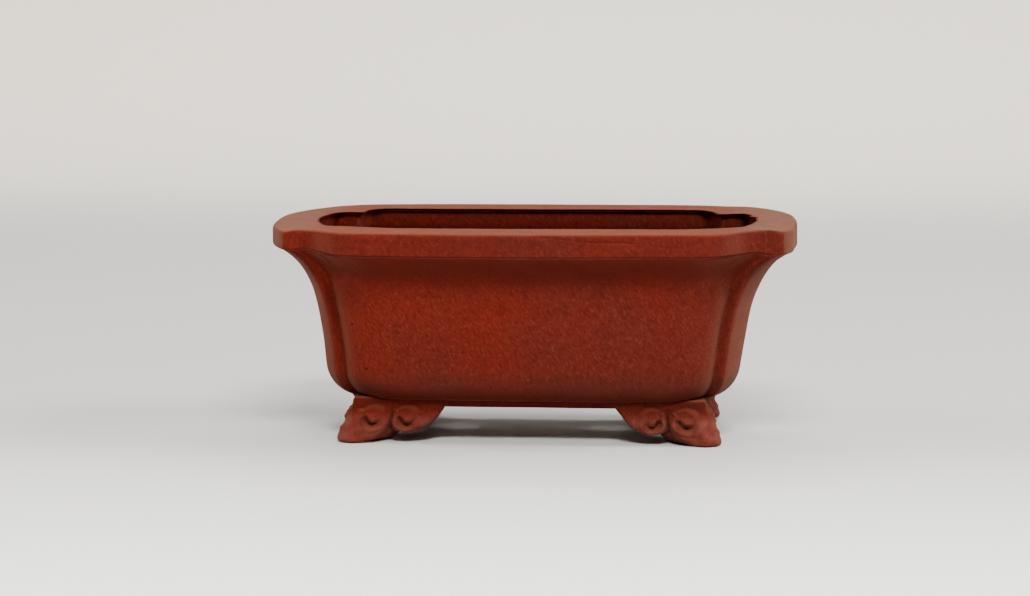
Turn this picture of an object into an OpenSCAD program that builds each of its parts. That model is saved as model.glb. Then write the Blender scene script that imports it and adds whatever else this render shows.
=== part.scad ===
// Small unglazed bonsai pot with in-cut corners, a broad everted rim and four scroll feet.
// Millimetres. +X is the right end, -Y the front, +Z up. The origin is the middle of the
// footprint, on the plane that the toes stand on.

/* [Overall] */
// Width over the rim
pot_w = 96; // [90:1:102]
// Depth over the rim
pot_d = 58; // [56:0.5:61]
// Height from the toes to the rim's top
pot_h = 38.8; // [37:0.2:42]

/* [Rim] */
// Height of the rim's vertical face
rim_h = 3.8; // [3:0.1:4.5]
// Width of the rim's flat top at the two ends
rim_end_w = 8; // [7.5:0.1:9]
// Width of the rim's flat top along the front and back
rim_long_w = 10.5; // [9.5:0.1:11.5]
// How far the space under the rim's lip cuts back behind the opening
undercut = 1.2; // [0.8:0.1:2.4]

/* [Body] */
// Half width of the wall where it starts to round under
wall_foot = 37.1; // [36:0.1:37.5]
// How far the wall leans out for each millimetre of height
lean = 0.16; // [0.12:0.01:0.2]
// How far the flare under the rim carries the wall out
flare_out = 5.9; // [5:0.1:6.5]
// How sharply the flare turns out
flare_power = 3.3; // [2.5:0.1:4]
// Sideways inset of the rounded bottom edge
round_in = 3.1; // [2:0.1:3.5]
// Height of the rounded bottom edge
round_h = 4.4; // [3.5:0.1:5]
// Thickness of the walls
wall_t = 4.2; // [3.8:0.1:4.6]
// Share of each sideways inset that the front and back walls take
front_share = 0.9; // [0.88:0.01:0.92]

/* [Corners] */
// Distance from the opening's end to its corner's inward point
opening_corner = 7.4; // [6:0.1:8]
// Distance from the rim's end to the bottom of its corner groove
corner_w = 6.4; // [5.5:0.1:7]
// Each mitre runs at 45 degrees from this distance along X
mitre_x = 19.9; // [19.5:0.1:20.5]

/* [Floor] */
// Thickness of the floor slab
floor_t = 4.5; // [4:0.1:5]
// Height of the slab's edge that shows under the walls
band_h = 1.3; // [1:0.1:1.6]
// Diameter of the two drain holes
drain_d = 9; // [7:0.5:11]
// Distance of each drain hole from the middle
drain_x = 14; // [12:0.5:16]
// Diameter of the four holes for a tie-down wire
wire_d = 2.5; // [2:0.1:3]
// Place of each wire hole along X
wire_x = 25; // [23:0.5:25.5]
// Place of each wire hole along Y
wire_y = 7; // [6:0.5:7.5]

/* [Feet] */
// Height of the feet under the floor slab
foot_h = 6.3; // [6:0.1:7]
// Half width over the toes at the ground
toe_x = 34.1; // [33.5:0.1:34.5]
// Half depth over the toes at the ground
toe_y = 19.2; // [18.8:0.1:19.6]
// How far the toes spread out towards the ground
toe_flare = 2.4; // [1.5:0.1:2.8]
// Length of each foot along the front or back
long_wing = 19.3; // [18:0.1:20]
// Length of each foot along the end
short_wing = 13.5; // [12.5:0.1:14]
// Thickness of a foot's wings
wing_t = 4.6; // [4:0.1:5]
// Height of each wing's second lobe over the ground
lobe_lift = 1.7; // [1.4:0.1:2]

/* [Hidden] */

clay = [0.47, 0.15, 0.09];
body_z = foot_h + band_h;
rim_z = pot_h - rim_h;
floor_z = foot_h + floor_t;
// Set-back of the slab's edge under the walls
slab_in = 0.6;
over = 1;
arc_steps = 6;
end_steps = 5;
// Places of the groove and of the end's middle in a quarter outline
groove = arc_steps + 2;
end_middle = groove + end_steps + 1;

// ---- plan outlines -------------------------------------------------------------------

// Width of the corner at a level whose half width is a
function corner_at(a) = corner_w + 0.15 * (a - pot_w / 2);

// One quarter of a plan outline, from the middle of the long side round to the end:
// a straight side, a quarter of an ellipse down into the groove, the lip of the end lobe,
// and the end lobe's gentle bow
function quarter(a, b, c) =
    let (
        gx = a - c,
        gy = gx - mitre_x,
        rx = 1.6 * c,
        ry = b - gy,
        ex = gx + 0.375 * c,
        ey = gy + 0.3 * c
    )
    concat(
        [[0, b], [(gx - rx) / 2, b]],
        [for (i = [0 : arc_steps])
            let (t = 90 * i / arc_steps)
            [gx - rx + rx * sin(t), gy + ry * cos(t)]],
        [for (i = [0 : end_steps])
            let (y = ey * (1 - i / end_steps))
            [a - (a - ex) * pow(y / ey, 2), y]]
    );

// ---- profile: half width and half depth at a height ----------------------------------

function flare_at(z) =
    let (start = 20)
    z < start ? 0 : flare_out * pow((z - start) / (rim_z - start), flare_power);

function rounding_at(z) =
    let (v = (body_z + round_h - z) / round_h)
    v < 0 ? 0 : round_in * (1 - sqrt(max(0, 1 - v * v)));

function half_w(z) = wall_foot + lean * (z - body_z) + flare_at(z) - rounding_at(z);
function half_d(a) = pot_d / 2 - front_share * (pot_w / 2 - a);

// ---- strips between two mitres ---------------------------------------------------------

// Stations round the plan, as [place in the quarter, side along X, side along Y]
long_stations = concat(
    [for (i = [groove : -1 : 1]) [i, -1, -1]],
    [for (i = [0 : groove]) [i, 1, -1]]
);
end_stations = concat(
    [for (i = [groove : end_middle]) [i, 1, -1]],
    [for (i = [end_middle - 1 : -1 : groove]) [i, 1, 1]]
);

// A profile point is [z, half width, half depth, corner width]
function place(station, p) =
    let (q = quarter(p[1], p[2], p[3])[station[0]])
    [station[1] * q.x, station[2] * q.y, p[0]];

// Two triangles of one four-sided face, clockwise as seen from outside
function quad(a, b, c, d) = [[a, b, c], [a, c, d]];

// A closed strip whose section goes up the outer profile and down the inner one. Both have as
// many points, and all its end points lie in the mitre planes.
module strip(stations, outer, inner) {
    m = len(outer);
    n = len(stations);
    points = [for (s = stations, p = concat(outer, inner)) place(s, p)];
    along = [
        for (i = [0 : n - 2])
            let (h = 2 * m * i, k = h + 2 * m)
            each concat(
                [for (j = [0 : m - 2]) each quad(h + j, h + j + 1, k + j + 1, k + j)],
                [for (j = [m : 2 * m - 2]) each quad(h + j, k + j, k + j + 1, h + j + 1)],
                quad(h + m - 1, h + 2 * m - 1, k + 2 * m - 1, k + m - 1),
                quad(h, k, k + m, h + m)
            )
    ];
    ends = [
        for (j = [0 : m - 2])
            let (k = 2 * m * (n - 1) + j)
            each concat(
                quad(j, j + m, j + m + 1, j + 1),
                quad(k, k + 1, k + m + 1, k + m)
            )
    ];
    polyhedron(points = points, faces = concat(along, ends), convexity = 6);
}

// ---- floor ---------------------------------------------------------------------------

slab_a = wall_foot - round_in - slab_in;

function whole_outline(a, b, c) =
    let (
        q = quarter(a, b, c),
        last = len(q) - 1,
        front = [for (i = [last : -1 : 0]) [q[i].x, -q[i].y]],
        right = concat(front, [for (i = [1 : last]) [-q[i].x, -q[i].y]])
    )
    concat(right, [for (i = [1 : 2 * last - 1]) -right[i]]);

module slab_plan() {
    polygon(whole_outline(slab_a, half_d(slab_a), corner_at(slab_a)));
}

module floor_slab() {
    color(clay)
        difference() {
            translate([0, 0, foot_h])
                linear_extrude(height = floor_t)
                    slab_plan();
            for (x = [-drain_x, drain_x])
                translate([x, 0, foot_h - over])
                    cylinder(d = drain_d, h = floor_t + 2 * over, $fn = 48);
            for (x = [-wire_x, wire_x], y = [-wire_y, wire_y])
                translate([x, y, foot_h - over])
                    cylinder(d = wire_d, h = floor_t + 2 * over, $fn = 24);
        }
}

// ---- walls, each from mitre to mitre, standing on the slab's edge ---------------------

// Outer profile: the rounded bottom edge, then the leaning wall and the flare
wall_round_steps = 5;
wall_rise_steps = 8;
wall_outer = [
    for (i = [0 : wall_round_steps + wall_rise_steps])
        let (
            round_top = body_z + round_h,
            z = i <= wall_round_steps
                ? body_z + round_h * (1 - cos(90 * i / wall_round_steps))
                : round_top + (rim_z - round_top) * pow((i - wall_round_steps) / wall_rise_steps, 0.8),
            a = half_w(z)
        )
        [z, a, half_d(a), corner_at(a)]
];

// Inner profile: round the slab's edge, in on top of the slab, then up beside the outer face
wall_inner = [
    [body_z, slab_a, half_d(slab_a), corner_at(slab_a)],
    [floor_z, slab_a, half_d(slab_a), corner_at(slab_a)],
    for (i = [2 : len(wall_outer) - 1])
        let (
            z = floor_z + (rim_z - floor_z) * (i - 2) / (len(wall_outer) - 3),
            a = half_w(z) - wall_t,
            b = half_d(half_w(z)) - wall_t
        )
        [z, a, b, 0.62 * corner_at(a)]
];

module wall_front() {
    color(clay)
        strip(long_stations, wall_outer, wall_inner);
}

module wall_right() {
    color(clay)
        strip(end_stations, wall_outer, wall_inner);
}

module wall_back() {
    rotate(180)
        wall_front();
}

module wall_left() {
    rotate(180)
        wall_right();
}

// ---- rim strips ----------------------------------------------------------------------

// The rim's outside has eased edges, and its thin lip overhangs the space inside
rim_outer = [
    for (e = [[0, 0.9], [0.3, 0.3], [0.9, 0], [rim_h - 0.5, 0], [rim_h - 0.15, 0.15], [rim_h, 0.5]])
        [rim_z + e[0], pot_w / 2 - e[1], pot_d / 2 - e[1], corner_w]
];
rim_inner = [
    for (e = [[0, 1], [0.25, 0.8], [0.5, 0.4], [0.7, 0.1], [0.85, 0], [1, 0]])
        let (back = undercut * e[1] + (e[0] == 1 ? 0.3 : 0))
        [
            rim_z + rim_h * e[0],
            pot_w / 2 - rim_end_w + back,
            pot_d / 2 - rim_long_w + back,
            opening_corner
        ]
];

module rim_front() {
    color(clay)
        strip(long_stations, rim_outer, rim_inner);
}

module rim_right() {
    color(clay)
        strip(end_stations, rim_outer, rim_inner);
}

module rim_back() {
    rotate(180)
        rim_front();
}

module rim_left() {
    rotate(180)
        rim_right();
}

// ---- feet ----------------------------------------------------------------------------

// Distances of a wing's two lobes from its toe
function toe_lobe_x(toe_r) = toe_flare + 0.4 + toe_r;
function tip_lobe_x(toe_r, lobe_r) = toe_lobe_x(toe_r) + toe_r + lobe_r - 0.4;

// A wing seen from outside, with its toe at x = 0: a toe lobe, a cleft and a raised second
// lobe that sweeps up to the tip
module wing_profile(length, toe_r, lobe_r) {
    toe_c = toe_lobe_x(toe_r);
    lobe_c = tip_lobe_x(toe_r, lobe_r);
    top = body_z;
    difference() {
        union() {
            translate([toe_c, toe_r])
                circle(r = toe_r, $fn = 32);
            translate([toe_flare, 0])
                square([toe_c - toe_flare, top]);
            translate([toe_c, toe_r])
                square([lobe_c - toe_c, top - toe_r]);
            translate([lobe_c, lobe_lift + lobe_r])
                circle(r = lobe_r, $fn = 32);
            polygon([
                [lobe_c, lobe_lift + lobe_r],
                [lobe_c + 0.62 * lobe_r, lobe_lift + 0.22 * lobe_r],
                [length, foot_h],
                [length, top],
                [lobe_c, top]
            ]);
        }
        translate([0, top])
            square([length + over, lobe_r]);
    }
}

// Pits at the hearts of the scrolls, cut into the face y = 0
module scroll_eyes(toe_r, lobe_r) {
    for (x = [toe_lobe_x(toe_r), tip_lobe_x(toe_r, lobe_r)])
        translate([x, -over, foot_h / 2 + 0.4])
            rotate([-90, 0, 0])
                cylinder(r = 0.3 * toe_r, h = over + 0.8, $fn = 20);
}

// A wing as a slab lying along +X from the toe, its outer face at y = 0
module wing(length, toe_r, lobe_r) {
    translate([0, wing_t, 0])
        rotate([90, 0, 0])
            linear_extrude(height = wing_t)
                wing_profile(length, toe_r, lobe_r);
}

// The solid toe that joins the wings and spreads out towards the ground
module toe() {
    ease = 1.2;
    wide = toe_flare + wing_t + 0.6;
    hull() {
        for (x = [ease, wide - ease], y = [ease, wide - ease])
            translate([x, y, 0])
                cylinder(r = ease, h = 0.6, $fn = 24);
        translate([toe_flare, toe_flare, body_z - 0.4])
            cube([wing_t, wing_t, 0.4]);
    }
}

// A foot in its own frame: the corner of the toes at the origin, wings along +X and +Y
module foot() {
    difference() {
        union() {
            translate([0, toe_flare, 0])
                wing(long_wing, 3.3, 3.1);
            translate([toe_flare, 0, 0])
                mirror([1, -1, 0])
                    wing(short_wing, 2.3, 2.1);
            toe();
        }
        translate([0, toe_flare, 0])
            scroll_eyes(3.3, 3.1);
        translate([toe_flare, 0, 0])
            mirror([1, -1, 0])
                scroll_eyes(2.3, 2.1);
    }
}

// A foot under one corner: side_x and side_y are 1 or -1
module foot_at(side_x, side_y) {
    color(clay)
        difference() {
            scale([side_x, side_y, 1])
                translate([toe_x, toe_y, 0])
                    rotate(180)
                        foot();
            translate([0, 0, foot_h])
                linear_extrude(height = floor_t)
                    slab_plan();
        }
}

module foot_front_left() { foot_at(-1, -1); }
module foot_front_right() { foot_at(1, -1); }
module foot_back_left() { foot_at(-1, 1); }
module foot_back_right() { foot_at(1, 1); }

floor_slab();
wall_front();
wall_back();
wall_left();
wall_right();
rim_front();
rim_back();
rim_left();
rim_right();
foot_front_left();
foot_front_right();
foot_back_left();
foot_back_right();
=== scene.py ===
"""A small unglazed red clay bonsai pot: in-cut corners, a broad everted rim and four scroll feet.

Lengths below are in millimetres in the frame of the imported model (+X the right end, -Y the front,
+Z up, origin under the middle on the ground); mesh_object() turns them into metres.
"""

import math

import bpy
import numpy as np
from mathutils import Euler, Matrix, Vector


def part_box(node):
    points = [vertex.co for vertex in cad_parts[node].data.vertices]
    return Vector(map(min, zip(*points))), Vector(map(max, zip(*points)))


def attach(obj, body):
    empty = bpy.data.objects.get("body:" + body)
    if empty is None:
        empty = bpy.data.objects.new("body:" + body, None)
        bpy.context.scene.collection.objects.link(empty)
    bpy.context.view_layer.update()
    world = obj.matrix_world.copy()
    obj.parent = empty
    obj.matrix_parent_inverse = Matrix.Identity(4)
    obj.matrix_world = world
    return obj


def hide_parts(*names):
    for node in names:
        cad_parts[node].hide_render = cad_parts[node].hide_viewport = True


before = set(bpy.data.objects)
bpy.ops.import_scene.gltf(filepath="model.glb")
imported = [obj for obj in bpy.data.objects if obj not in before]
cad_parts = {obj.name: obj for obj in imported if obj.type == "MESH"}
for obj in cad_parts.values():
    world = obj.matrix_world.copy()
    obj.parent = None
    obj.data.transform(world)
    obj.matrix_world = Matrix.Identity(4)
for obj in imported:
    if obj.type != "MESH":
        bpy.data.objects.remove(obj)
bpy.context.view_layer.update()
MM = 0.001

# ---- sizes read from the frame ---------------------------------------------------------------


def low(node, axis):
    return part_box(node)[0][axis] / MM


def high(node, axis):
    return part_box(node)[1][axis] / MM


X, Y, Z = 0, 1, 2
HALF_W = high("rim_right", X)
HALF_D = high("rim_back", Y)
TOP_Z = high("rim_front", Z)
RIM_Z = low("rim_front", Z)
BODY_Z = low("wall_front", Z)
FOOT_Z = low("floor_slab", Z)
FLOOR_Z = high("floor_slab", Z)
SLAB_HALF_W = high("floor_slab", X)
SLAB_HALF_D = high("floor_slab", Y)
TOE_X = high("foot_front_right", X)
TOE_Y = -low("foot_front_right", Y)
LONG_WING = TOE_X - low("foot_front_right", X)
SHORT_WING = TOE_Y + high("foot_front_right", Y)

# ---- sizes of the shapes ---------------------------------------------------------------------

RIM_END_W = 8.0
RIM_LONG_W = 10.5
UNDERCUT = 1.2
TOP_EDGE = 0.7
LOW_EDGE = 0.55
WALL_FOOT = 37.1
LEAN = 0.16
FLARE_START = 20.0
FLARE_OUT = 5.9
FLARE_POWER = 3.3
ROUND_IN = 3.1
ROUND_H = 4.4
WALL_T = 4.2
FRONT_SHARE = 0.9
CORNER_W = 6.4
MITRE_X = 19.9
OPENING_FRONT_CORNER = 4.4
OPENING_BACK_CORNER = 7.4
TOE_FLARE = 2.4

# Steps along a quarter of the plan: the straight side, the arc into the groove, the end lobe's
# lip and its bow
STRAIGHT_STEPS = 44
ARC_STEPS = 34
LIP_STEPS = 9
BOW_STEPS = 44
GROOVE = STRAIGHT_STEPS + ARC_STEPS
QUARTER = GROOVE + LIP_STEPS + BOW_STEPS

# ---- noise -----------------------------------------------------------------------------------


def noise(points, wave, seed):
    """Smooth noise between -1 and 1 at each point, with bumps about wave millimetres across."""
    table = np.random.RandomState(seed).uniform(-1, 1, (32, 32, 32))
    at = np.asarray(points, float) / wave + 100.0
    base = np.floor(at).astype(int)
    t = at - base
    t = t * t * t * (t * (6 * t - 15) + 10)
    total = np.zeros(len(at))
    for corner in range(8):
        step = np.array([corner & 1, corner >> 1 & 1, corner >> 2 & 1])
        share = np.prod(np.where(step, t, 1 - t), axis=1)
        i, j, k = ((base + step) % 32).T
        total += share * table[i, j, k]
    return total


def smooth(value, start, end):
    """0 at start, 1 at end and beyond, with an easy curve between. start may be above end."""
    t = np.clip((value - start) / (end - start), 0, 1)
    return t * t * (3 - 2 * t)


def hump(value, centre, half):
    """1 at centre, falling off over about half on either side."""
    return np.exp(-(((value - centre) / half) ** 2))


def bell(soften, reach):
    """Weights of a running average, soften steps wide and cut off reach steps to either side."""
    weights = np.exp(-0.5 * (np.arange(-reach, reach + 1) / soften) ** 2)
    return weights / weights.sum()


# ---- the maker's hand ------------------------------------------------------------------------

# Waviness of the clay: how far across its bumps are, how high, and a seed for each size
WAVES = ((34, 0.26, 11), (15, 0.10, 21), (6, 0.035, 31), (2.4, 0.012, 41))
WAVES_UPRIGHT = 0.4


def hand_made(points):
    """How far each point of the clay lies off the true shape, the same for every piece."""
    off = np.zeros_like(points)
    for wave, size, seed in WAVES:
        for axis in (X, Y, Z):
            share = WAVES_UPRIGHT if axis == Z else 1.0
            off[:, axis] += share * size * noise(points, wave, seed + axis)
    x, y, z = points.T
    ends = np.abs(x)

    # The rim slopes a little, droops at its left end and stands up at the back and on the right
    droop = 0.45 * smooth(-x, 38.0, 48.0)
    off[:, Z] += (0.004 * x - 0.02 - droop) * smooth(z, 8.0, 36.0)
    off[:, Z] += 0.25 * smooth(y, 5.0, 25.0) * smooth(ends, 44.0, 30.0) * smooth(z, 30.0, 36.0)
    off[:, Z] += 0.3 * hump(x, 40.5, 4.0) * smooth(z, 30.0, 36.0)

    # The rim's underside sags, more at the right end than the left, and its top edge doesn't
    sag = 0.4 + 0.25 * smooth(x, 34.0, 44.0) * (1 - 0.45 * smooth(-y, 6.0, 18.0))
    sag -= 0.75 * smooth(-x, 33.0, 42.0)
    off[:, Z] -= sag * smooth(z, 22.0, RIM_Z) * smooth(z, TOP_Z, RIM_Z)

    # Each end has its own bulges, and the rim's front right corner was pulled outwards
    off[:, X] += 0.35 * smooth(-x, 30.0, 46.0) * smooth(z, 28.0, 35.0)
    off[:, X] -= 0.35 * smooth(-x, 24.0, 34.0) * hump(z, 11.5, 4.0)
    off[:, X] += 0.35 * smooth(x, 30.0, 37.0) * hump(z, 28.0, 4.0)
    off[:, X] += smooth(x, 39.0, 44.0) * smooth(-y, 9.0, 18.0) * smooth(z, 29.0, 34.0)

    # The toes stand flat on the ground
    off *= (0.25 + 0.75 * smooth(z, 0.0, 5.0))[:, None]
    off[:, Z] *= smooth(z, 0.2, 3.0)
    return off


# ---- plan outlines ---------------------------------------------------------------------------


def corner_at(a):
    """Width of the corner at a level whose half width is a."""
    return CORNER_W + 0.15 * (a - HALF_W)


def quarter(a, b, c, run=1.6, ease=0.0, lip=(0.375, 0.3), deeper=0.0):
    """The first quarter of a plan outline, from the middle of the long side to the end's middle.

    run is the length of the turn into the groove and lip the end lobe's corner, both as shares
    of c. ease turns the quarter ellipse into a soft slope, and deeper sets the groove further in.
    """
    # The groove's place, the turn's reach into it, and the end lobe's corner
    gx = a - c
    gy = gx - MITRE_X - deeper
    rx, ry = run * c, b - gy
    ex, ey = gx + lip[0] * c, gy + lip[1] * c

    u = np.linspace(0, 1, STRAIGHT_STEPS, endpoint=False)
    straight = np.column_stack([(gx - rx) * u, np.full(len(u), b)])
    t = np.linspace(0, np.pi / 2, ARC_STEPS, endpoint=False)
    along = (1 - ease) * np.sin(t) + ease * t / (np.pi / 2)
    fall = (1 - ease) * np.cos(t) + ease * (1 + np.cos(2 * t)) / 2
    arc = np.column_stack([gx - rx + rx * along, gy + ry * fall])
    v = np.linspace(0, 1, LIP_STEPS, endpoint=False)[:, None]
    step = (1 - v) * [gx, gy] + v * [ex, ey]
    y = ey * (1 - np.linspace(0, 1, BOW_STEPS + 1))
    bow = np.column_stack([a - (a - ex) * (y / ey) ** 2, y])
    return np.concatenate([straight, arc, step, bow])


def rounded(q, a, b, share):
    """Moves a quarter outline part of the way out to an even, groove-free corner."""
    power = 4.0
    far = ((q[:, 0] / a) ** power + (q[:, 1] / b) ** power) ** (1 / power)
    return q * (1 + share * (1 / far - 1))[:, None]


def loop_of(front, back, soften=2.5):
    """The whole outline, anticlockwise from the middle of the front, with its corners softened."""
    right = np.concatenate([front * [1, -1], back[-2::-1]])
    left = np.concatenate([back[1:] * [-1, 1], (front * -1)[-2:0:-1]])
    loop = np.concatenate([right, left])
    reach = int(4 * soften)
    kernel = bell(soften, reach)
    wrapped = np.concatenate([loop[-reach:], loop, loop[:reach]])
    return np.column_stack([np.convolve(wrapped[:, i], kernel, "valid") for i in (X, Y)])


def outline(a, b, c):
    """A whole outline with the same in-cut corner all round."""
    q = quarter(a, b, c)
    return loop_of(q, q)


def rim_outer(shrink):
    """The rim's outside: soft wide grooves at the front corners, hardly any at the back."""
    a, b = HALF_W - shrink, HALF_D - shrink
    front = quarter(a, b, CORNER_W, run=1.8, ease=0.9, deeper=0.8)
    back = rounded(quarter(a, b, CORNER_W), a, b, 0.85)
    return loop_of(front, back, 3.5)


def rim_inner(widen):
    """The opening: a gentle curve at the front corners, a square inward step at the back."""
    a, b = HALF_W - RIM_END_W + widen, HALF_D - RIM_LONG_W + widen
    front = quarter(a, b, OPENING_FRONT_CORNER, run=2.7, ease=0.8, lip=(0.4, -0.1), deeper=0.6)
    back = quarter(a, b, OPENING_BACK_CORNER, run=0.5, lip=(0.62, 0.06), deeper=1.2)
    loop = loop_of(front, back, 2.0)

    # It is cut a little further to the right than to the left
    loop[:, X] += 0.9 * smooth(loop[:, X], -20.0, 36.0)

    # A knife-cut edge that wanders, with a small hook at its right end
    edge = np.column_stack([loop, np.zeros(len(loop))])
    loop[:, X] += 0.10 * noise(edge, 1.9, 51) + 0.10 * noise(edge, 4.5, 53)
    loop[:, Y] += 0.10 * noise(edge, 1.9, 52) + 0.12 * noise(edge, 4.5, 54)
    end = smooth(loop[:, X], 33.0, 38.5)
    loop[:, X] += end * (0.4 * hump(loop[:, Y], 3.0, 0.9) - 0.9 * hump(loop[:, Y], 5.0, 0.9))
    return loop


LOOP = 4 * QUARTER

# Stations of a whole outline that each side's piece takes, from groove to groove
SPANS = {
    "front": np.arange(-GROOVE, GROOVE + 1) % LOOP,
    "right": np.arange(GROOVE, 2 * QUARTER - GROOVE + 1) % LOOP,
    "back": np.arange(2 * QUARTER - GROOVE, 2 * QUARTER + GROOVE + 1) % LOOP,
    "left": np.arange(2 * QUARTER + GROOVE, 4 * QUARTER - GROOVE + 1) % LOOP,
}

# ---- profile ---------------------------------------------------------------------------------


def half_w(z):
    """The wall's half width: leaning out, flaring under the rim and rounded in at the foot."""
    flare = FLARE_OUT * (max(z - FLARE_START, 0) / (RIM_Z - FLARE_START)) ** FLARE_POWER
    v = max(BODY_Z + ROUND_H - z, 0) / ROUND_H
    rounding = ROUND_IN * (1 - math.sqrt(max(0, 1 - v * v)))
    return WALL_FOOT + LEAN * (z - BODY_Z) + flare - rounding


def half_d(a):
    """Half depth at a level whose half width is a."""
    return HALF_D - FRONT_SHARE * (HALF_W - a)


# ---- meshes ----------------------------------------------------------------------------------


def mesh_object(name, points, faces, flat=()):
    """A mesh object from points in millimetres. The faces listed in flat keep hard edges."""
    mesh = bpy.data.meshes.new(name)
    mesh.from_pydata((np.asarray(points) * MM).tolist(), [], faces)
    mesh.polygons.foreach_set("use_smooth", [True] * len(mesh.polygons))
    hard = set(flat)
    for index in hard:
        mesh.polygons[index].use_smooth = False
    edges = {key for index in hard for key in mesh.polygons[index].edge_keys}
    for edge in mesh.edges:
        if edge.key in edges:
            edge.use_edge_sharp = True
    mesh.validate()
    obj = bpy.data.objects.new(name, mesh)
    bpy.context.scene.collection.objects.link(obj)
    return obj


def strip_mesh(name, rows):
    """A tube of four-sided faces through rows of points, one closed section a row, closed with
    a flat face at each end."""
    n, m = rows.shape[:2]
    index = np.arange(n * m).reshape(n, m)
    a, b = index[:-1], index[1:]
    quads = np.stack([a, b, np.roll(b, -1, 1), np.roll(a, -1, 1)], axis=-1).reshape(-1, 4)
    faces = quads.tolist()
    flat = (len(faces), len(faces) + 1)
    faces += [index[0].tolist(), index[-1][::-1].tolist()]
    return mesh_object(name, rows.reshape(-1, 3), faces, flat)


def section_rows(span, section):
    """Rows for strip_mesh: section is a list of (outline, z), and span the stations to take."""
    return np.stack(
        [np.column_stack([plan[span], np.full(len(span), z)]) for plan, z in section], axis=1
    )


# ---- walls -----------------------------------------------------------------------------------

FOOT_ROUND_STEPS = 18
RISE_STEPS = 56
INSIDE_STEPS = 42
COVE = 0.9
COVE_H = 2.2
INSIDE_CORNER = 0.62


def wall_section():
    """Up the outer face, across the top, down the inner face and round the slab's edge."""
    section = []
    for t in np.linspace(0, np.pi / 2, FOOT_ROUND_STEPS, endpoint=False):
        z = BODY_Z + ROUND_H * (1 - math.cos(t))
        section.append((z, half_w(z), half_d(half_w(z)), 1.0))
    start = BODY_Z + ROUND_H

    # Closer together towards the rim, where the flare is
    for u in np.linspace(0, 1, RISE_STEPS) ** 0.85:
        z = start + (RIM_Z - start) * u
        section.append((z, half_w(z), half_d(half_w(z)), 1.0))
    for u in np.linspace(1, 0, INSIDE_STEPS):
        z = FLOOR_Z + (RIM_Z - FLOOR_Z) * u
        cove = COVE * (1 - smooth(z, FLOOR_Z, FLOOR_Z + COVE_H))
        a = half_w(z) - WALL_T - cove
        section.append((z, a, half_d(half_w(z)) - WALL_T - cove, INSIDE_CORNER))
    for z in (FLOOR_Z, BODY_Z + 0.3, BODY_Z):
        section.append((z, SLAB_HALF_W - 0.1, SLAB_HALF_D - 0.1, 1.0))
    plans = []
    for z, a, b, share in section:
        plan = outline(a, b, share * corner_at(a))
        if share == 1.0 and z > FLARE_START:
            # The flare takes on the rim's softer corners
            fade = 0.8 * float(smooth(z, 24.0, RIM_Z))
            plan = (1 - fade) * plan + fade * rim_outer(HALF_W - a)
        plans.append((plan, z))
    return plans


# ---- rim -------------------------------------------------------------------------------------

EDGE_STEPS = 12
LIP_H = 0.45
LIP_OUT = 0.4
LIP_HOLLOW = 0.55


def rim_section():
    """Up the outer face, over the soft arris, across the flat top and down under the lip."""
    height = TOP_Z - RIM_Z
    eased = np.linspace(0, np.pi / 2, EDGE_STEPS)

    # Each point of the path: how far in from the edge, how high, and 0 for the outer edge or 1
    # for the opening's, or how far across the top between them
    path = []
    for t in eased:
        path.append((LOW_EDGE * (1 - math.sin(t)), LOW_EDGE * (1 - math.cos(t)), 0.0))
    for z in np.linspace(LOW_EDGE, height - TOP_EDGE, 24)[1:-1]:
        path.append((0.0, z, 0.0))
    for t in eased:
        path.append((TOP_EDGE * (1 - math.cos(t)), height - TOP_EDGE * (1 - math.sin(t)), 0.0))
    for u in np.linspace(0, 1, 26)[1:-1]:
        path.append((TOP_EDGE, height, u))
    for t in eased:
        path.append((-LIP_OUT * (1 - math.sin(t)), height - LIP_H * (1 - math.cos(t)), 1.0))
    for u in np.linspace(0, 1, 22)[1:]:
        turn = math.sqrt(1 - (1 - min(u / 0.25, 1.0)) ** 2)
        hollow = LIP_HOLLOW * turn + (UNDERCUT - LIP_HOLLOW) * u**3
        path.append((hollow, (height - LIP_H) * (1 - u), 1.0))
    section = []
    for out, up, across in path:
        outer = rim_outer(out if across < 1 else TOP_EDGE)
        inner = rim_inner(out if across == 1 else 0.0)
        section.append(((1 - across) * outer + across * inner, RIM_Z + up))
    return section


# ---- feet ------------------------------------------------------------------------------------

FOOT_TOP = BODY_Z + 0.4
NECK_X = TOE_X - TOE_FLARE
NECK_Y = TOE_Y - TOE_FLARE
WING_T = 4.4
TOE_R = 5.2
PAD_END = 2.2
LOBE_LIFT = 1.75
UNDER_R = 1.6
CROWN_R = 0.8

# Both wings carry the same carving. Places along it are measured from the corner, in units that
# are close to the long wing's millimetres and shorter on the short wing
WING_UNITS = 17.0
LOBES = (3.9, 9.7)
CLEFT = 6.8
EYE_Z = 4.2

# Points of a foot's section: down the carved face, round the lower edge, up the hidden back
FACE_POINTS = 66
ROLL_POINTS = 14
BACK_POINTS = 12

# No section is nearer to the corner than this, and along each wing they are this far apart
FIRST_SECTION = 0.05
SECTION_STEP = 0.13


def wing_edge(w):
    """Height of a wing's scalloped lower edge at w along the carving: the toe's pad, the cleft,
    and the second lobe sweeping up to the tip."""
    past_pad = w - PAD_END
    toe = np.where(past_pad < 0, 0.0, TOE_R - np.sqrt(np.maximum(TOE_R**2 - past_pad**2, 0)))
    past_lobe = w - LOBES[1] - 0.1
    tip = LOBE_LIFT + np.where(past_lobe < 0, 0.115, 0.104) * past_lobe**2
    blend = smooth(w, CLEFT - 0.35, CLEFT + 0.25)
    return np.minimum((1 - blend) * toe + blend * tip, FOOT_Z + 0.25)


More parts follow.
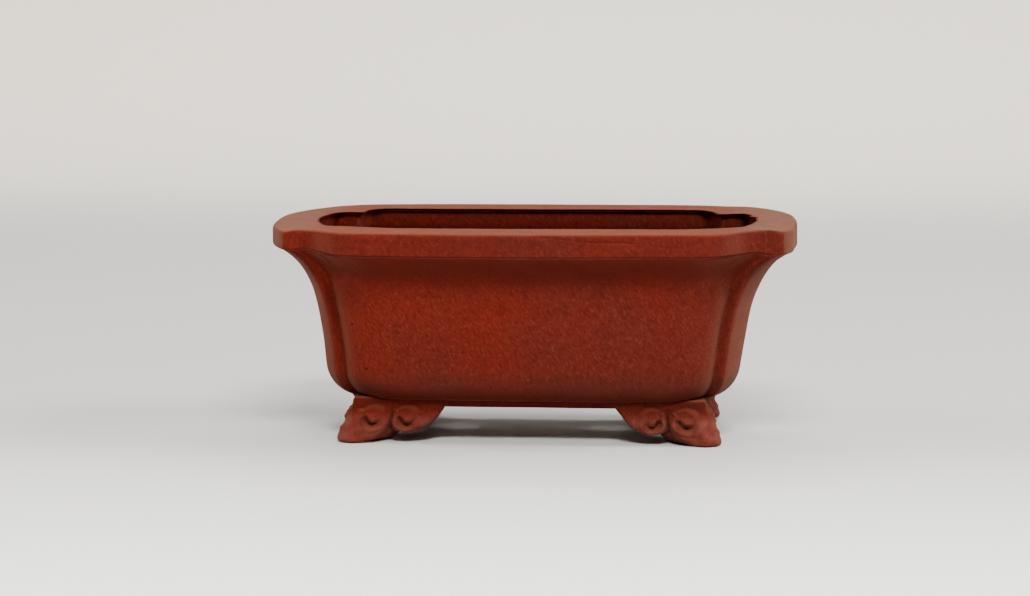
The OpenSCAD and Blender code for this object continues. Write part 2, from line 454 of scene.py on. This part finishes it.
def toe_splay(z):
    """How far the toe has spread outwards at height z: most just over the ground, then rolling
    under."""
    drop = np.clip((FOOT_TOP - z) / FOOT_TOP, 0, 1)
    under = 1 - np.sqrt(np.clip(1 - (np.clip(UNDER_R - z, 0, UNDER_R) / UNDER_R) ** 2, 0, 1))
    return TOE_FLARE * (0.30 * drop + 0.70 * drop**3.2) / 0.78 - 1.5 * under


def wing_relief(w, z, turns):
    """How far the carving stands out from a wing's face: two cushions, the crease between them,
    and in each a scroll that winds into a deep, crescent-shaped eye."""
    cushion = smooth(z, 7.8, 3.8) * smooth(w, WING_UNITS, 12.0)
    out = 1.15 * cushion - 0.2 * hump(z, 6.9, 0.9)
    for centre, turn in zip(LOBES, turns):
        across, up = (w - centre) * turn, z - EYE_Z
        far = np.hypot(across, up * 1.1)
        around = (np.degrees(np.arctan2(up, across)) + 220) % 360

        # The eye, the ridge that winds round it, the bead inside it and the groove outside
        crescent = smooth(around, 5, 50) * smooth(around, 250, 115)
        out = out - 1.25 * crescent * hump(far, 1.15, 0.38 + 0.20 * crescent)
        winding = 2.2 - 0.6 * smooth(around, 190, 350)
        out = out + 0.40 * hump(far, winding, 0.50) * smooth(around, 330, 210)
        out = out + 0.32 * hump(far, 0.15, 0.62)
        out = out - 0.32 * hump(far, winding + 1.15, 0.5) * smooth(z, 3.2, 5.0)
    width = 0.32 + 0.25 * smooth(z, 4.5, 1.5)
    crease = hump(w - 0.16 * (z - 2.5), CLEFT, width) * smooth(z, 6.4, 4.2)
    return out - 1.6 * crease


def foot_section(u, length, along_x, turns):
    """One closed section of the front right foot, u from the corner along one of its wings."""
    w = u * WING_UNITS / length
    near = math.exp(-((w / 5.0) ** 2))

    # The carved face from the top down, then round its lower edge
    edge = float(wing_edge(np.array(w)))
    roll = min(1.2, 0.45 * (FOOT_TOP - edge))
    z = FOOT_TOP + (edge + roll - FOOT_TOP) * np.linspace(0, 1, FACE_POINTS)
    t = np.linspace(0, np.pi / 2, ROLL_POINTS + 1)[1:]
    z = np.concatenate([z, edge + roll * (1 - np.sin(t))])
    tuck = np.concatenate([np.zeros(FACE_POINTS), roll * 0.9 * (1 - np.cos(t))])
    rise = (z - FOOT_TOP + CROWN_R).clip(0) / CROWN_R
    crown = CROWN_R * (1 - np.sqrt(np.maximum(1 - rise**2, 0)))
    splay = toe_splay(z) * near
    relief = smooth(u, 0.0, 1.6) * wing_relief(np.full_like(z, w), z, turns)
    out = relief + splay - tuck * (1 - 0.8 * near) - crown + 0.1
    outer_u = -u + splay

    # Under the edge and up the back
    inner_u = -(WING_T + u * (length - WING_T) / length)
    inner_out = -WING_T + 0.5 * near
    inner_z = np.linspace(edge + 0.5, FOOT_TOP - 0.3, BACK_POINTS)
    low_z = np.array([edge, edge, edge + 0.12])
    low_mix = np.array([0.35, 0.7, 0.93])
    under_out = out[-1] + (inner_out - out[-1]) * low_mix
    under_u = outer_u[-1] + (inner_u - outer_u[-1]) * low_mix

    outs = np.concatenate([out, under_out, np.full(BACK_POINTS, inner_out)])
    alongs = np.concatenate([outer_u, under_u, np.full(BACK_POINTS, inner_u)])
    zs = np.concatenate([z, low_z, inner_z])
    if along_x:
        return np.column_stack([NECK_X + alongs, -(NECK_Y + outs), zs])
    return np.column_stack([NECK_X + outs, -(NECK_Y + alongs), zs])


def foot_rows(turns):
    """Sections from the front wing's tip, round the corner, to the end wing's tip. turns gives
    the way that the scrolls of the toe and of the second lobe wind, 1 or -1."""
    long_part = LONG_WING - TOE_FLARE
    short_part = SHORT_WING - TOE_FLARE
    front = np.arange(long_part, FIRST_SECTION, -SECTION_STEP)
    end = np.arange(FIRST_SECTION, short_part, SECTION_STEP)
    rows = [foot_section(u, long_part, True, turns) for u in front]
    rows += [foot_section(u, short_part, False, turns) for u in end]
    rows = np.stack(rows)

    # Sections near the corner are averaged along the foot, which rounds it
    corner = int((long_part - FIRST_SECTION) / SECTION_STEP)
    soften = 4.5
    reach = int(3 * soften)
    kernel = bell(soften, reach)
    eased = rows.copy()
    for i in range(corner - 3 * reach, corner + 3 * reach):
        part = np.tensordot(kernel, rows[i - reach : i + reach + 1], axes=(0, 0))
        share = math.exp(-(((i - corner) / (1.2 * reach)) ** 4))
        eased[i] = share * part + (1 - share) * rows[i]
    eased[:, :, Z] = np.where(eased[:, :, Z] < 0.02, 0.0, eased[:, :, Z])
    return eased


# ---- floor slab ------------------------------------------------------------------------------

SLAB_VOXEL = 0.28


def slab():
    """The floor slab, from its exact solid, remeshed finely and with its edges worn soft."""
    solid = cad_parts["floor_slab"]
    obj = bpy.data.objects.new("floor_slab_clay", solid.data.copy())
    bpy.context.scene.collection.objects.link(obj)
    remesh = obj.modifiers.new("remesh", "REMESH")
    remesh.mode = "VOXEL"
    remesh.voxel_size = SLAB_VOXEL * MM
    ease = obj.modifiers.new("ease", "SMOOTH")
    ease.factor, ease.iterations = 0.5, 5
    made = bpy.data.meshes.new_from_object(obj.evaluated_get(bpy.context.evaluated_depsgraph_get()))
    obj.modifiers.clear()
    obj.data = made
    made.polygons.foreach_set("use_smooth", [True] * len(made.polygons))
    return obj


# ---- materials -------------------------------------------------------------------------------


def plain(name, colour):
    material = bpy.data.materials.new(name)
    material.use_nodes = True
    shader = material.node_tree.nodes["Principled BSDF"]
    shader.inputs["Base Color"].default_value = (*colour, 1)
    shader.inputs["Roughness"].default_value = 0.7
    return material


class Nodes:
    """Shorthand for building a material's nodes. A value is a number, a colour or a socket."""

    def __init__(self, name):
        self.material = bpy.data.materials.new(name)
        self.material.use_nodes = True
        self.tree = self.material.node_tree
        self.shader = self.tree.nodes["Principled BSDF"]

    def put(self, kind, inputs=(), **settings):
        """Adds a node, with its settings and with values for its inputs by name or number."""
        node = self.tree.nodes.new(kind)
        for key, value in settings.items():
            setattr(node, key, value)
        for key, value in dict(inputs).items():
            self.feed(node.inputs[key], value)
        return node

    def feed(self, socket, value):
        if isinstance(value, bpy.types.NodeSocket):
            self.tree.links.new(value, socket)
        else:
            socket.default_value = value

    def math(self, operation, a, b=0.0):
        return self.put("ShaderNodeMath", {0: a, 1: b}, operation=operation).outputs[0]

    def both(self, a, b):
        return self.math("MULTIPLY", a, b)

    def noise(self, place, scale, detail=3.0, rough=0.55):
        inputs = {"Vector": place, "Scale": scale, "Detail": detail, "Roughness": rough}
        return self.put("ShaderNodeTexNoise", inputs).outputs["Fac"]

    def ramp(self, value, low, high, start=0.0, end=1.0, easy=True):
        """From start to end as value goes from low to high."""
        inputs = {"Value": value, "From Min": low, "From Max": high, "To Min": start, "To Max": end}
        kind = "SMOOTHSTEP" if easy else "LINEAR"
        return self.put("ShaderNodeMapRange", inputs, interpolation_type=kind).outputs["Result"]

    def mix(self, share, a, b, blend="MIX"):
        node = self.put("ShaderNodeMix", data_type="RGBA", blend_type=blend)
        for socket, value in ((node.inputs[0], share), (node.inputs[6], a), (node.inputs[7], b)):
            self.feed(socket, value)
        return node.outputs[2]


# The fired clay and its grains, then what use and dust have made of it, with painted shade and
# painted sheen
CLAY_RED = (0.140, 0.0118, 0.0056, 1)
CLAY_BROWN = (0.104, 0.0140, 0.0080, 1)
CLAY_DARK = (0.045, 0.0062, 0.0042, 1)
CLAY_LIGHT = (0.190, 0.0340, 0.0220, 1)
CLAY_SAND = (0.280, 0.1200, 0.0780, 1)
CLAY_IRON = (0.012, 0.0050, 0.0040, 1)
CLAY_WORN = (0.200, 0.0600, 0.0430, 1)
CLAY_DUST_AND_SHEEN = (0.190, 0.0560, 0.0250, 1)
CLAY_PAINTED_END_SHEEN = (0.205, 0.1000, 0.0620, 1)
CLAY_PAINTED_HOLLOW_SHADE = (0.100, 0.0065, 0.0030, 1)
CLAY_PAINTED_LOW_SHADE = (0.052, 0.0150, 0.0100, 1)
CLAY_PAINTED_SHADE = (0.052, 0.0045, 0.0020, 1)


def clay_material():
    """Unglazed red-brown stoneware: mottled, sandy and speckled, paler where worn, with dust and
    painted sheen on what faces up and painted shade in hollows and underneath.
    """
    n = Nodes("red_clay")
    metres = n.put("ShaderNodeTexCoord").outputs["Object"]
    to_mm = {0: metres, 1: (1000, 1000, 1000)}
    mm = n.put("ShaderNodeVectorMath", to_mm, operation="MULTIPLY").outputs[0]
    along, _, height = n.put("ShaderNodeSeparateXYZ", {0: mm}).outputs
    geometry = n.put("ShaderNodeNewGeometry")
    normal = geometry.outputs["Normal"]
    pointy = geometry.outputs["Pointiness"]
    facing_end, _, facing_up = n.put("ShaderNodeSeparateXYZ", {0: normal}).outputs

    # Faces that look away from the origin, so not the ones inside the pot
    away = n.put("ShaderNodeVectorMath", {0: normal, 1: mm}, operation="DOT_PRODUCT")
    outside = n.ramp(away.outputs["Value"], 0.0, 6.0)

    # Slow drift from red to brown, mottling, grain, and sand drawn out along the tool's strokes
    tilted = {"Vector": mm, "Rotation": (0.3, -0.58, 0.0), "Scale": (1.0, 1.0, 3.0)}
    strokes = n.put("ShaderNodeMapping", tilted, vector_type="TEXTURE").outputs[0]
    drift = n.math("ADD", n.noise(mm, 0.045, 2.0), n.both(along, 0.003))
    mottle = n.noise(mm, 0.28, 4.0, 0.6)
    grain = n.noise(mm, 1.5, 3.0, 0.65)
    sand = n.noise(strokes, 2.9, 2.0, 0.55)
    colour = n.mix(n.ramp(drift, 0.32, 0.68, 0.05, 0.85), CLAY_RED, CLAY_BROWN)
    colour = n.mix(n.ramp(mottle, 0.42, 0.75, 0.0, 0.14), colour, CLAY_DARK)
    colour = n.mix(n.ramp(grain, 0.5, 0.8, 0.0, 0.35), colour, CLAY_LIGHT)
    colour = n.mix(n.ramp(grain, 0.5, 0.28, 0.0, 0.4), colour, CLAY_DARK)
    colour = n.mix(n.ramp(sand, 0.53, 0.72, 0.0, 0.45), colour, CLAY_LIGHT)
    colour = n.mix(n.ramp(sand, 0.47, 0.28, 0.0, 0.50), colour, CLAY_DARK)

    # Specks: a few grains of pale sand, more of iron
    specks = n.put("ShaderNodeTexVoronoi", {"Vector": mm, "Scale": 0.42}, feature="F1")
    size = n.ramp(n.noise(mm, 0.33, 1.0), 0.35, 0.7, 0.02, 0.11)
    spot = n.math("LESS_THAN", specks.outputs["Distance"], size)
    _, iron_key, sand_key = n.put("ShaderNodeSeparateColor", {0: specks.outputs["Color"]}).outputs
    colour = n.mix(n.both(spot, n.ramp(sand_key, 0.94, 0.97, 0.0, 0.4)), colour, CLAY_SAND)
    colour = n.mix(n.both(spot, n.ramp(iron_key, 0.80, 0.86)), colour, CLAY_IRON)

    # Edges and toes rubbed pale, in patches, and painted shade on what faces down
    patchy = n.ramp(n.noise(mm, 0.5, 4.0, 0.6), 0.3, 0.65, 0.35, 1.0)
    colour = n.mix(n.both(n.ramp(pointy, 0.52, 0.60, 0.0, 0.5), patchy), colour, CLAY_WORN)
    painted_underside_shade = n.ramp(facing_up, -0.25, -0.70, 0.0, 0.8)
    colour = n.mix(painted_underside_shade, colour, CLAY_PAINTED_SHADE)
    rubbed = n.both(n.ramp(height, 5.6, 3.8, 0.0, 0.6), patchy)
    colour = n.mix(rubbed, colour, CLAY_WORN)

    # Bands by height: painted shade in the crease over the slab and low on the walls, and a darker
    # rim face
    crease = n.both(n.ramp(height, 5.0, 6.4, 0.0, 0.6), n.ramp(height, 9.0, 7.6))
    colour = n.mix(crease, colour, CLAY_PAINTED_SHADE)
    painted_low_shade = n.both(n.ramp(height, 14.5, 10.0, 0.0, 0.5), n.ramp(height, 7.8, 10.4, 0.15, 1.0))
    colour = n.mix(painted_low_shade, colour, CLAY_PAINTED_LOW_SHADE)
    # Darker over the rim's outer face
    rim_face_darker = n.both(n.ramp(height, 34.0, 35.6, 0.0, 0.24), n.ramp(facing_up, 0.6, 0.2))
    colour = n.mix(n.both(rim_face_darker, outside), colour, CLAY_DARK)

    # Dust and painted sheen on what faces up, and a painted sheen on the ends
    even = n.ramp(patchy, 0.35, 1.0, 0.75, 1.0, False)
    dust_and_sheen = n.both(n.ramp(facing_up, 0.55, 0.98, 0.0, 0.62), even)
    to_end = n.ramp(n.math("ABSOLUTE", along), 32.0, 43.0)
    colour = n.mix(dust_and_sheen, colour, n.mix(to_end, CLAY_DUST_AND_SHEEN, CLAY_PAINTED_END_SHEEN))
    # Painted sheen on the faces turned to the ends
    faces_end = n.ramp(n.math("ABSOLUTE", facing_end), 0.6, 0.95, 0.0, 0.3)
    ends = n.both(faces_end, n.ramp(height, 33.0, 35.0, 0.45, 1.0))
    colour = n.mix(n.both(ends, outside), colour, CLAY_PAINTED_END_SHEEN)

    # Painted shade: a darker, richer red in the hollows
    colour = n.mix(n.ramp(pointy, 0.49, 0.42, 0.0, 0.6), colour, CLAY_PAINTED_HOLLOW_SHADE)
    n.feed(n.shader.inputs["Base Color"], colour)

    # A dry surface with a little warm sheen at grazing angles
    uneven = n.ramp(mottle, 0.3, 0.7, -0.04, 0.05)
    rough = n.math("ADD", n.ramp(grain, 0.2, 0.8, 0.68, 0.84), uneven)
    n.feed(n.shader.inputs["Roughness"], rough)
    n.shader.inputs["Sheen Weight"].default_value = 0.055
    n.shader.inputs["Sheen Roughness"].default_value = 0.4
    n.shader.inputs["Sheen Tint"].default_value = (1.0, 0.64, 0.36, 1)
    n.shader.inputs["IOR"].default_value = 1.48
    n.shader.inputs["Specular IOR Level"].default_value = 0.05

    # Relief of the grain, with the specks as small pits
    relief = n.math("ADD", n.both(grain, 0.7), n.both(sand, 0.5))
    for part, share in ((n.noise(mm, 5.0, 2.0), 0.3), (mottle, 0.9), (spot, -0.25)):
        relief = n.math("ADD", relief, n.both(part, share))
    bump = n.put("ShaderNodeBump", {"Height": relief, "Strength": 0.75, "Distance": 0.00011})
    n.feed(n.shader.inputs["Normal"], bump.outputs[0])
    return n.material


CLAY = clay_material()


# ---- pieces ----------------------------------------------------------------------------------


def finish_piece(obj, node):
    obj.data.materials.clear()
    obj.data.materials.append(CLAY)
    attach(obj, "root")
    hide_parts(node)


def shape_points(obj, change):
    """Moves each vertex by what change() returns for it, in millimetres."""
    count = len(obj.data.vertices)
    flat = np.empty(count * 3, np.float32)
    obj.data.vertices.foreach_get("co", flat)
    points = flat.reshape(-1, 3).astype(float) / MM
    points += change(points)
    obj.data.vertices.foreach_set("co", (points * MM).astype(np.float32).ravel())
    obj.data.update()


def upright(obj):
    """Turns a closed mesh's faces outward."""
    mesh = obj.data
    mesh.calc_loop_triangles()
    points = np.array([v.co[:] for v in mesh.vertices])
    corners = points[np.array([t.vertices[:] for t in mesh.loop_triangles])]
    if np.einsum("ij,ij->", corners[:, 0], np.cross(corners[:, 1], corners[:, 2])) < 0:
        mesh.flip_normals()


def rim_marks(points):
    """Hand-made drift, and on the front a chipped lamination line and some finger ripples."""
    off = hand_made(points)
    x, z = points[:, X], points[:, Z]
    face = smooth(points[:, Y], -HALF_D + 1.6, -HALF_D + 0.5)
    line = TOP_Z - 0.55 - 0.06 * (x - 2.4).clip(0) + 0.12 * np.sin(x / 2.3)
    along = smooth(x, 1.8, 3.0) * smooth(x, 29.0, 25.0)
    chip = hump(x, 2.6, 0.55) * hump(z, TOP_Z - 0.45, 0.4)
    ripple = np.sin(5.2 * z + 0.35 * x + 1.3 * np.sin(x / 3.1)) * hump(x, -27.0, 6.5)
    off[:, Y] += face * (0.17 * along * hump(z, line, 0.17) + 0.22 * chip + 0.06 * ripple)
    return off


CROSS_X = -19.5
CROSS_Z = 4.9


def nicked(points):
    """Hand-made drift, and a small cross scratched in the second lobe."""
    off = hand_made(points)
    a = (points[:, X] - CROSS_X) + (points[:, Z] - CROSS_Z)
    b = (points[:, X] - CROSS_X) - (points[:, Z] - CROSS_Z)
    face = smooth(points[:, Y], -15.4, -16.2)
    cross = hump(a, 0, 0.20) * hump(b, 0, 0.85) + hump(b, 0, 0.20) * hump(a, 0, 0.85)
    off[:, Y] += 0.30 * face * np.clip(cross, 0, 1)
    return off


# Each side's wall and rim strip take the same stations, and meet their neighbours in the grooves
wall_plan = wall_section()
rim_plan = rim_section()
for side, span in SPANS.items():
    wall = strip_mesh(f"wall_slab_{side}", section_rows(span, wall_plan))
    shape_points(wall, hand_made)
    upright(wall)
    finish_piece(wall, f"wall_{side}")
    rim = strip_mesh(f"rim_strip_{side}", section_rows(span, rim_plan))
    shape_points(rim, rim_marks if side == "front" else hand_made)
    upright(rim)
    finish_piece(rim, f"rim_{side}")

# The other feet are mirror images of the front right one, and one of them was carved differently
for name, across, along in (
    ("front_right", 1, 1), ("front_left", -1, 1), ("back_right", 1, -1), ("back_left", -1, -1)
):
    rows = foot_rows((1, 1) if name == "front_left" else (-1, 1))
    piece = strip_mesh(f"scroll_foot_{name}", rows * [across, along, 1])
    shape_points(piece, nicked if name == "front_left" else hand_made)
    upright(piece)
    finish_piece(piece, f"foot_{name}")

floor = slab()
shape_points(floor, hand_made)
finish_piece(floor, "floor_slab")

# ---- floor and backdrop ----------------------------------------------------------------------

SWEEP = plain("paper_sweep", (0.73, 0.715, 0.69))
SWEEP_FRONT = -600.0
SWEEP_BEND = 500.0
SWEEP_R = 300.0
SWEEP_TOP = 900.0
SWEEP_HALF_W = 1200.0


def sweep():
    """A pale floor that curves up behind the pot."""
    profile = [(SWEEP_FRONT, 0.0), (SWEEP_BEND, 0.0)]
    for t in np.linspace(0.05, np.pi / 2, 24):
        profile.append((SWEEP_BEND + SWEEP_R * math.sin(t), SWEEP_R - SWEEP_R * math.cos(t)))
    profile.append((SWEEP_BEND + SWEEP_R, SWEEP_TOP))
    points = [(x, y, z) for x in (-SWEEP_HALF_W, SWEEP_HALF_W) for y, z in profile]
    n = len(profile)
    faces = [(i, i + n, i + n + 1, i + 1) for i in range(n - 1)]
    obj = mesh_object("paper_floor", points, faces)
    obj.data.materials.append(SWEEP)


sweep()

# ---- light -----------------------------------------------------------------------------------


def area(name, place, target, size, power, spread=180, colour=(1, 1, 1)):
    """A softbox at place, turned to target. Power is in watts and spread in degrees."""
    data = bpy.data.lights.new(name, "AREA")
    data.shape = "RECTANGLE"
    data.size, data.size_y = size[0] * MM, size[1] * MM
    data.energy = power
    data.spread = math.radians(spread)
    data.color = colour
    obj = bpy.data.objects.new(name, data)
    obj.location = Vector(place) * MM
    obj.rotation_euler = (Vector(target) * MM - obj.location).to_track_quat("-Z", "Y").to_euler()
    bpy.context.scene.collection.objects.link(obj)


WARM = (1.0, 0.88, 0.70)
FAINTLY_WARM = (1.0, 0.93, 0.80)

# The key lights the front and throws the shade behind the pot. Two narrow ones even out the near
# floor and the paper behind. The top one grazes the rim, the low one the far floor, and the side
# ones model the ends
area("key_softbox", (70, -480, 540), (0, -60, 0), (300, 160), 5.6)
area("floor_softbox", (0, -210, 620), (0, -210, 0), (900, 80), 1.5, 40)
area("backdrop_softbox", (0, 600, 560), (0, 640, 20), (1000, 160), 1.6, 60, WARM)
area("top_softbox", (0, 470, 600), (0, 0, 20), (600, 160), 3.0)
area("low_softbox", (0, 690, 270), (0, 0, 10), (500, 80), 0.12, 180, FAINTLY_WARM)
area("left_softbox", (-560, 30, 430), (0, 0, 20), (260, 260), 2.2)
area("right_softbox", (560, 30, 430), (0, 0, 20), (260, 260), 4.2)

world = bpy.data.worlds.new("room")
world.use_nodes = True
background = world.node_tree.nodes["Background"]
background.inputs["Color"].default_value = (0.93, 0.95, 1.0, 1)
background.inputs["Strength"].default_value = 0.03
bpy.context.scene.world = world

# ---- camera ----------------------------------------------------------------------------------

# Distances in millimetres, angles in degrees; the azimuth is from straight in front to the right
CAMERA_AZIMUTH = 2.44
CAMERA_BACK = 650.0
CAMERA_UP = 100.9
LENS = 124.7
PITCH = 6.726
PAN = -0.299
ROLL = 0.246


def camera():
    """The camera: its place round the pot, then where it looks and how it is rolled."""
    data = bpy.data.cameras.new("camera")
    data.lens = LENS
    data.sensor_width = 36
    data.clip_start, data.clip_end = 0.01, 20
    obj = bpy.data.objects.new("camera", data)
    turn = math.radians(CAMERA_AZIMUTH)
    across, back = CAMERA_BACK * math.sin(turn), CAMERA_BACK * math.cos(turn)
    obj.location = (across * MM, -back * MM, CAMERA_UP * MM)
    look = Euler((math.radians(90 - PITCH), 0, turn - math.radians(PAN))).to_matrix()
    roll = Euler((0, 0, math.radians(ROLL))).to_matrix()
    obj.rotation_euler = (look @ roll).to_euler()
    bpy.context.scene.collection.objects.link(obj)
    bpy.context.scene.camera = obj


camera()
